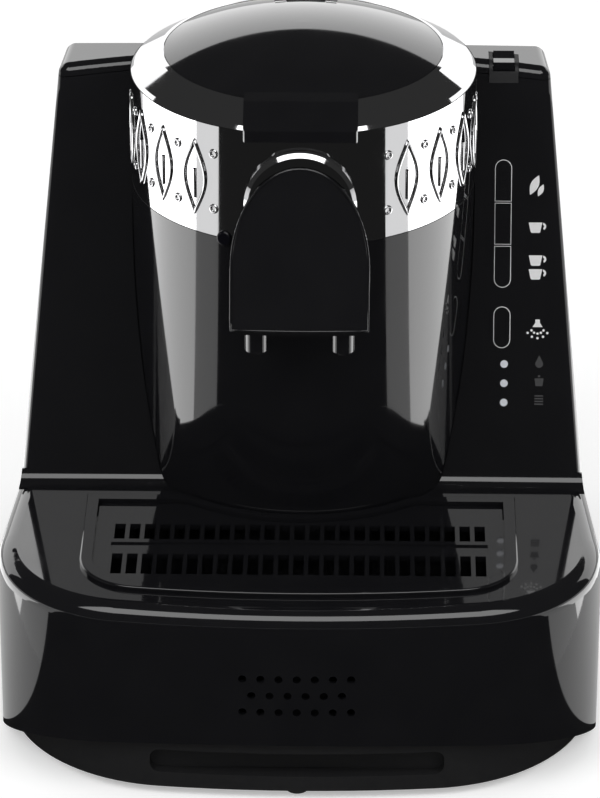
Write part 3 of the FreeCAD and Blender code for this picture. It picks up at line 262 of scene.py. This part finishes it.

# %% [markdown]
# ## Thin raised lines
#
# Outlines, beads and the border of the chrome band are all thin rounded lines.
# A curve with a small round bevel is the lightest way to make them: the path
# says where the line runs and one number says how wide it is. The piece is then
# turned into a mesh.

# %% Helper for raised lines
def raised_line(name, paths, width, finish, body="machine", closed=True, flat=1.0):
    """One mesh from several paths of points; width is in millimetres."""
    curve = bpy.data.curves.new(name, "CURVE")
    curve.dimensions = "3D"
    curve.bevel_depth = width * MM / 2
    curve.bevel_resolution = 2
    for path in paths:
        spline = curve.splines.new("POLY")
        spline.points.add(len(path) - 1)
        for point, place in zip(spline.points, path):
            point.co = (*place, 1)
        spline.use_cyclic_u = closed
    temporary = bpy.data.objects.new(name + "_path", curve)
    bpy.context.scene.collection.objects.link(temporary)
    bpy.context.view_layer.update()
    graph = bpy.context.evaluated_depsgraph_get()
    mesh = bpy.data.meshes.new_from_object(temporary.evaluated_get(graph))
    bpy.data.objects.remove(temporary)
    mesh.name = name
    piece = bpy.data.objects.new(name, mesh)
    bpy.context.scene.collection.objects.link(piece)
    mesh.materials.clear()
    mesh.materials.append(finish)
    mesh.polygons.foreach_set("use_smooth", [True] * len(mesh.polygons))
    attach(piece, body)
    return piece


# %% [markdown]
# ## Outlines round the four buttons
#
# Each button is a narrow pill in the shield with a fine bright line round it.
# The line is a painted highlight: white lines standing in for the light caught
# on each button's bevel. The first and the third of the upper three buttons are
# round on one end only.

# %% Button outlines, painted as bevel highlights
def pill_path(x, height, width, length, round_top, round_bottom, out=0.02):
    half = width / 2
    top = length / 2
    ring = []
    for step in range(13):
        angle = math.pi * step / 12
        if round_top:
            ring.append((half * math.cos(angle), top - half + half * math.sin(angle)))
    if not round_top:
        ring += [(half, top), (-half, top)]
    for step in range(13):
        angle = math.pi + math.pi * step / 12
        if round_bottom:
            ring.append((half * math.cos(angle), half - top + half * math.sin(angle)))
    if not round_bottom:
        ring += [(-half, -top), (half, -top)]
    return [on_shield(x, height, right, up, out) for right, up in ring]


KEY_X = 86.4
KEY_LENGTH = 16.8
KEY_GAP = 1.9
RISE = KEY_LENGTH * math.cos(LEAN)
STEP = (KEY_LENGTH + KEY_GAP) * math.cos(LEAN)
TOP_KEY = 222.8 - RISE / 2
KEYS = [
    (TOP_KEY, True, False), (TOP_KEY - STEP, False, False),
    (TOP_KEY - 2 * STEP, False, True), (162.9 - RISE / 2, True, True),
]
rings = [pill_path(KEY_X, height, 7.0, KEY_LENGTH + 1.0, top, bottom) for height, top, bottom in KEYS]
# These white lines are painted highlights: they stand in for the light caught on the bevel round each button.
raised_line("button_bevel_highlights", rings, 0.42, print_and_highlight_white)

# %% [markdown]
# ## Pictograms on the shield
#
# Plain signs say what each button does: keep warm, one cup, two cups and clean.
# Three smaller ones, printed in dark grey, stand beside the lamps. A flat mesh
# cut from an outline and raised by a tenth of a millimetre is a good stand-in
# for thick screen print.

# %% Helper for flat signs
def sign(name, outlines, x, height, finish):
    """Flat sign from closed outlines of (right, up) points in millimetres."""
    curve = bpy.data.curves.new(name, "CURVE")
    curve.dimensions = "2D"
    curve.fill_mode = "BOTH"
    curve.extrude = 0.05
    for outline in outlines:
        spline = curve.splines.new("POLY")
        spline.points.add(len(outline) - 1)
        for point, (right, up) in zip(spline.points, outline):
            point.co = (right, up, 0, 1)
        spline.use_cyclic_u = True
    temporary = bpy.data.objects.new(name + "_outline", curve)
    bpy.context.scene.collection.objects.link(temporary)
    bpy.context.view_layer.update()
    graph = bpy.context.evaluated_depsgraph_get()
    mesh = bpy.data.meshes.new_from_object(temporary.evaluated_get(graph))
    bpy.data.objects.remove(temporary)
    for vertex in mesh.vertices:
        right, up, out = vertex.co
        vertex.co = on_shield(x, height, right, up, out + 0.06)
    mesh.name = name
    piece = bpy.data.objects.new(name, mesh)
    bpy.context.scene.collection.objects.link(piece)
    mesh.materials.clear()
    mesh.materials.append(finish)
    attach(piece, "machine")
    return piece


def arc(cx, cy, radius, start, end, steps=12):
    """Points on an arc, angles in degrees."""
    made = []
    for step in range(steps + 1):
        angle = math.radians(start + (end - start) * step / steps)
        made.append((cx + radius * math.cos(angle), cy + radius * math.sin(angle)))
    return made


def disc(cx, cy, radius, steps=16):
    return arc(cx, cy, radius, 0, 360 * (1 - 1 / steps), steps - 1)


def leaf(cx, cy, length, width, lean):
    """Pointed oval that leans to the right by an angle in degrees."""
    side = [(width / 2 * math.sin(math.pi * t / 10), length * (t / 10 - 0.5)) for t in range(11)]
    loop = side + [(-a, b) for a, b in reversed(side[1:-1])]
    turn = math.radians(-lean)
    return [(cx + a * math.cos(turn) - b * math.sin(turn), cy + a * math.sin(turn) + b * math.cos(turn))
            for a, b in loop]


def cup(cx, cy, size=1.0):
    """Small coffee cup with a handle on its right: bowl, ring and the ring's hole."""
    bowl = [(-3.7, 2.4), (2.6, 2.4), (1.7, -1.6)] + arc(0.9, -1.4, 1.0, -30, -90, 4)
    bowl += [(-1.6, -2.4)] + arc(-1.9, -1.4, 1.0, -90, -150, 4)
    ring = arc(2.7, 0.6, 1.7, 80, -70, 10) + arc(2.6, 0.6, 0.8, -60, 70, 8)
    return [[(cx + a * size, cy + b * size) for a, b in loop] for loop in (bowl, ring)]


# %% Four white signs
steam_leaves = [leaf(-0.9, 0.5, 9.4, 3.6, 24), leaf(1.8, -1.8, 5.8, 2.3, 24)]
sign("sign_keep_warm", steam_leaves, 100.8, 212.7, print_and_highlight_white)
sign("sign_one_cup", cup(0, 0, 0.94), 101.0, 195.8, print_and_highlight_white)
sign("sign_two_cups", cup(0, 3.2, 0.94) + cup(0, -2.8, 0.94), 101.2, 179.4, print_and_highlight_white)
drops = []
for reach in (3.135, 5.115):
    for turn in (-56, -28, 0, 28, 56):
        angle = math.radians(turn)
        drops.append(disc(reach * math.sin(angle), 1.6 - reach * math.cos(angle), 0.55))
head = [(-1.0, 4.6), (1.0, 4.6), (1.0, 3.2), (2.2, 1.3), (-2.2, 1.3), (-1.0, 3.2)]
sign("sign_clean", [head] + drops, 101.9, 154.0, print_and_highlight_white)

# %% Three dim signs beside the lamps
drop_shape = arc(0, -0.8, 1.7, -200, 20, 14) + [(0, 3.0)]
sign("sign_water", [drop_shape], 102.8, 140.9, print_dim)
tray_shape = [(-2.0, 1.6), (2.0, 1.6), (1.5, -1.8), (-1.5, -1.8)]
tray_mark = [(-0.5, 2.9), (0.5, 2.9), (0.5, 2.1), (-0.5, 2.1)]
sign("sign_tray", [tray_shape, tray_mark], 102.8, 132.7, print_dim)
bars = [[(-1.9, level - 0.32), (1.9, level - 0.32), (1.9, level + 0.32), (-1.9, level + 0.32)]
        for level in (-1.8, -0.6, 0.6, 1.8)]
sign("sign_service", bars, 102.8, 125.3, print_dim)

# %% [markdown]
# ## Raised border of the chrome band
#
# The band carries a raised border on both sides and is bare in front. Upright
# almond loops with a short vein, and small beads between them, make a plain
# leaf-and-bead row. Each loop is drawn flat, in degrees round the column and
# millimetres of height, and then wrapped on the cylinder.

# %% Leaf and bead border
def almond(turn, height, width, tall):
    """Closed pointed loop; width in degrees round the column, tall in mm."""
    side = [(width / 2 * math.sin(math.pi * t / 16) ** 1.2, tall * (t / 16 - 0.5)) for t in range(17)]
    loop = side + [(-a, b) for a, b in reversed(side[1:-1])]
    return [on_column(turn + a, height + b, 0.1) for a, b in loop]


def vein(turn, height, tall):
    return [on_column(turn, height + tall * (t / 8 - 0.5), 0.1) for t in range(9)]


BAND_MIDDLE = 243.0
leaf_loops = []
leaf_veins = []
beads = []
for side in (-1, 1):
    for turn in (37, 52, 67, 82, 97):
        leaf_loops.append(almond(side * turn, BAND_MIDDLE, 8.6, 33.0))
        leaf_veins.append(vein(side * turn, BAND_MIDDLE - 3.0, 13.0))
    for turn in (29.5, 44.5, 59.5, 74.5, 89.5):
        for level in (-12.5, 12.5):
            ring = [math.pi * k / 8 for k in range(16)]
            beads.append([
                on_column(side * turn + 1.15 * math.cos(a), BAND_MIDDLE + level + 1.5 * math.sin(a), 0.1)
                for a in ring])
raised_line("band_leaves", leaf_loops, 1.7, chrome)
raised_line("band_veins", leaf_veins, 1.5, chrome, closed=False)
raised_line("band_beads", beads, 1.3, chrome)
print("border loops:", len(leaf_loops), "beads:", len(beads))

# %% [markdown]
# ## Rounded rim of the spout cover
#
# The bullet-shaped cover ends in a softly rounded rim, which catches a thin
# light all the way round. The solid has a sharp edge there, so a thin line of
# the same black plastic runs just inside it, half sunk into the bowed face.

# %% Rim of the spout cover
cover_low, cover_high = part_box("spout_cover")
COVER_LEAN = math.radians(21)
COVER_STAND = 4.5
COVER_TOP_HEIGHT = 255.6
RIM_INSET = 0.7
COVER_UP = Vector((0, math.sin(COVER_LEAN), math.cos(COVER_LEAN)))
COVER_OUT = Vector((0, -math.cos(COVER_LEAN), math.sin(COVER_LEAN)))
COVER_TOP = Vector((0, COLUMN_Y - COLUMN_RADIUS - COVER_STAND * MM, COVER_TOP_HEIGHT * MM))
COVER_HALF = (cover_high.x - cover_low.x) / 2 / MM - RIM_INSET
COVER_LENGTH = 68.6
SHOULDER = 0.62 * COVER_LENGTH


def on_cover(right, along, out=0.0):
    """Point on the bowed face; along is measured down from its top, in mm."""
    bow = math.sqrt((COLUMN_RADIUS / MM) ** 2 - right * right) - COLUMN_RADIUS / MM
    return COVER_TOP + Vector((right * MM, 0, 0)) - COVER_UP * along * MM + COVER_OUT * (bow + out) * MM


arch = [math.pi * k / 32 for k in range(33)]
RIM_LOW = COVER_LENGTH - RIM_INSET
rim = [on_cover(COVER_HALF * math.cos(a), SHOULDER - (SHOULDER - RIM_INSET) * math.sin(a), -0.1) for a in arch]
rim += [on_cover(-COVER_HALF, SHOULDER + (RIM_LOW - SHOULDER) * k / 6, -0.1) for k in range(1, 7)]
rim += [on_cover(-COVER_HALF + 2 * COVER_HALF * k / 16, RIM_LOW, -0.1) for k in range(1, 17)]
raised_line("spout_cover_rim", [rim], 1.3, gloss_black)
print("cover half width:", round(COVER_HALF, 2))

# %% [markdown]
# ## Joint lines on the column
#
# Where the chrome band meets the black shell and the sloping crown, the real
# column has a fine dark joint. A hair-thin ring of black, a tenth of a
# millimetre proud, marks it.

# %% Joint rings
joint_rings = [[on_column(turn, height, 0.0) for turn in range(0, 360, 3)] for height in (218.1, 268.4)]
raised_line("column_joints", joint_rings, 0.32, joint_black)

# %% [markdown]
# ## The studio
#
# The floor and the background are white; the floor gets a little extra for the
# camera alone, so it stays white and keeps the shadow. Polished black needs
# white panels to mirror, and dark gaps between them: a long wall behind, bright
# cards low on both sides with dimmer ones beside them, a soft panel high in
# front, and nothing but dark straight ahead. Only reflections see the panels,
# so they never show in the picture.

# %% Floor
def stage_mesh(name, points, faces):
    mesh = bpy.data.meshes.new(name)
    mesh.from_pydata([tuple(point) for point in points], [], faces)
    piece = bpy.data.objects.new(name, mesh)
    bpy.context.scene.collection.objects.link(piece)
    return piece


floor = stage_mesh("floor", [(-6, -6, 0), (6, -6, 0), (6, 6, 0), (-6, 6, 0)], [(0, 1, 2, 3)])
floor_paint, tree, shader = fresh_material("white_floor", (0.86, 0.86, 0.86), 0.6)
two_tones(tree, grain(tree, 3.0), (0.855, 0.855, 0.855), (0.865, 0.865, 0.865), shader.inputs["Base Color"])
shader.inputs["Specular IOR Level"].default_value = 0.0
eye = add(tree, "ShaderNodeLightPath", (-700, -500))
lift = add(tree, "ShaderNodeMapRange", (-300, -500))
lift.inputs["To Max"].default_value = 0.38
tree.links.new(eye.outputs["Is Camera Ray"], lift.inputs["Value"])
tree.links.new(lift.outputs["Result"], shader.inputs["Emission Strength"])
shader.inputs["Emission Color"].default_value = (1, 1, 1, 1)
floor.data.materials.append(floor_paint)
print("floor ready")

# %% World
world = bpy.data.worlds.new("studio")
bpy.context.scene.world = world
world.use_nodes = True
sky = world.node_tree
background = sky.nodes["Background"]
background.inputs["Color"].default_value = (1, 1, 1, 1)
ray = add(sky, "ShaderNodeLightPath", (-800, 0))
dim_gloss = add(sky, "ShaderNodeMapRange", (-500, -100))
for name, value in (("To Min", 0.62), ("To Max", 0.03)):
    dim_gloss.inputs[name].default_value = value
full = add(sky, "ShaderNodeMix", (-250, 0))
full.data_type = "FLOAT"
full.inputs["B"].default_value = 1.0
sky.links.new(ray.outputs["Is Glossy Ray"], dim_gloss.inputs["Value"])
sky.links.new(dim_gloss.outputs["Result"], full.inputs["A"])
sky.links.new(ray.outputs["Is Camera Ray"], full.inputs["Factor"])
sky.links.new(full.outputs["Result"], background.inputs["Strength"])


# %% Panels that only reflections see
def panel(name, corners, strength):
    """Glowing card; corners are rows of points, joined into a strip."""
    points = []
    faces = []
    for low, high in corners:
        points += [low, high]
    for step in range(len(corners) - 1):
        a = 2 * step
        faces.append((a, a + 2, a + 3, a + 1))
    card = stage_mesh(name, points, faces)
    paint = bpy.data.materials.new(name + "_glow")
    paint.use_nodes = True
    nodes_here = paint.node_tree.nodes
    nodes_here.remove(nodes_here["Principled BSDF"])
    glow = add(paint.node_tree, "ShaderNodeEmission", (0, 0), Strength=strength)
    paint.node_tree.links.new(glow.outputs["Emission"], nodes_here["Material Output"].inputs["Surface"])
    card.data.materials.append(paint)
    card.visible_camera = False
    card.visible_diffuse = False
    card.visible_shadow = False
    return card


def far(turn, distance, height):
    """Point round the column; turn 0 is in front and 180 behind."""
    angle = math.radians(turn)
    return (distance * math.sin(angle), COLUMN_Y - distance * math.cos(angle), height)


def fan(start, end, near, away, low, high, steps=16):
    turns = [start + (end - start) * step / steps for step in range(steps + 1)]
    return [(far(turn, near, low), far(turn, away, high)) for turn in turns]


panel("back_wall", fan(118, 242, 3.0, 3.0, 0.1, 1.85), 1.3)
CARD = (0.25, 0.75, 0.001, 0.001)
panel("left_floor_card", fan(-128, -71, *CARD), 2.6)
panel("right_floor_card", fan(71, 128, *CARD), 2.6)
panel("left_half_card", fan(-71, -54, *CARD), 0.8)
panel("right_half_card", fan(54, 71, *CARD), 0.8)
panel("high_front_panel", fan(-55, 55, 2.0, 0.9, 1.9, 2.6), 2.2)
panel("dark_floor_card", fan(-54, 54, 0.16, 3.0, 0.0012, 0.0012, 24), 0.012)

# %% [markdown]
# ## Lamps and camera
#
# Two large soft lamps light the matte parts evenly. The camera stands two
# metres away, a little to the right and about twenty-seven degrees above the
# table, with a long lens.

# %% Lamps
def soft_lamp(name, place, target, size, power):
    light = bpy.data.lights.new(name, "AREA")
    light.shape = "RECTANGLE"
    light.size, light.size_y = size
    light.energy = power
    lamp = bpy.data.objects.new(name, light)
    lamp.location = place
    lamp.rotation_euler = (Vector(target) - Vector(place)).to_track_quat("-Z", "Y").to_euler()
    lamp.visible_glossy = False
    bpy.context.scene.collection.objects.link(lamp)


soft_lamp("key_lamp", (-1.3, -1.2, 1.8), (0, 0, 0.12), (1.2, 1.2), 14)
soft_lamp("fill_lamp", (1.4, -1.0, 1.6), (0, 0, 0.12), (1.2, 1.2), 10)

# %% Camera
TURN = math.radians(1.025)
RISE_ANGLE = math.radians(26.595)
aim = Vector((-0.000915, -0.014, 0.1253))
level = math.cos(RISE_ANGLE)
back = Vector((math.sin(TURN) * level, -math.cos(TURN) * level, math.sin(RISE_ANGLE)))
right = Vector((math.cos(TURN), math.sin(TURN), 0))
up = back.cross(right)
lens = bpy.data.cameras.new("product_camera")
lens.sensor_fit = "HORIZONTAL"
lens.sensor_width = 36.0
lens.lens = 276.1
camera = bpy.data.objects.new("product_camera", lens)
place = aim + back * 2.0
camera.matrix_world = Matrix((
    (right.x, up.x, back.x, place.x),
    (right.y, up.y, back.y, place.y),
    (right.z, up.z, back.z, place.z),
    (0, 0, 0, 1),
))
bpy.context.scene.collection.objects.link(camera)
bpy.context.scene.camera = camera
bpy.context.scene.view_settings.view_transform = "Standard"
print("camera at", [round(v, 3) for v in place])
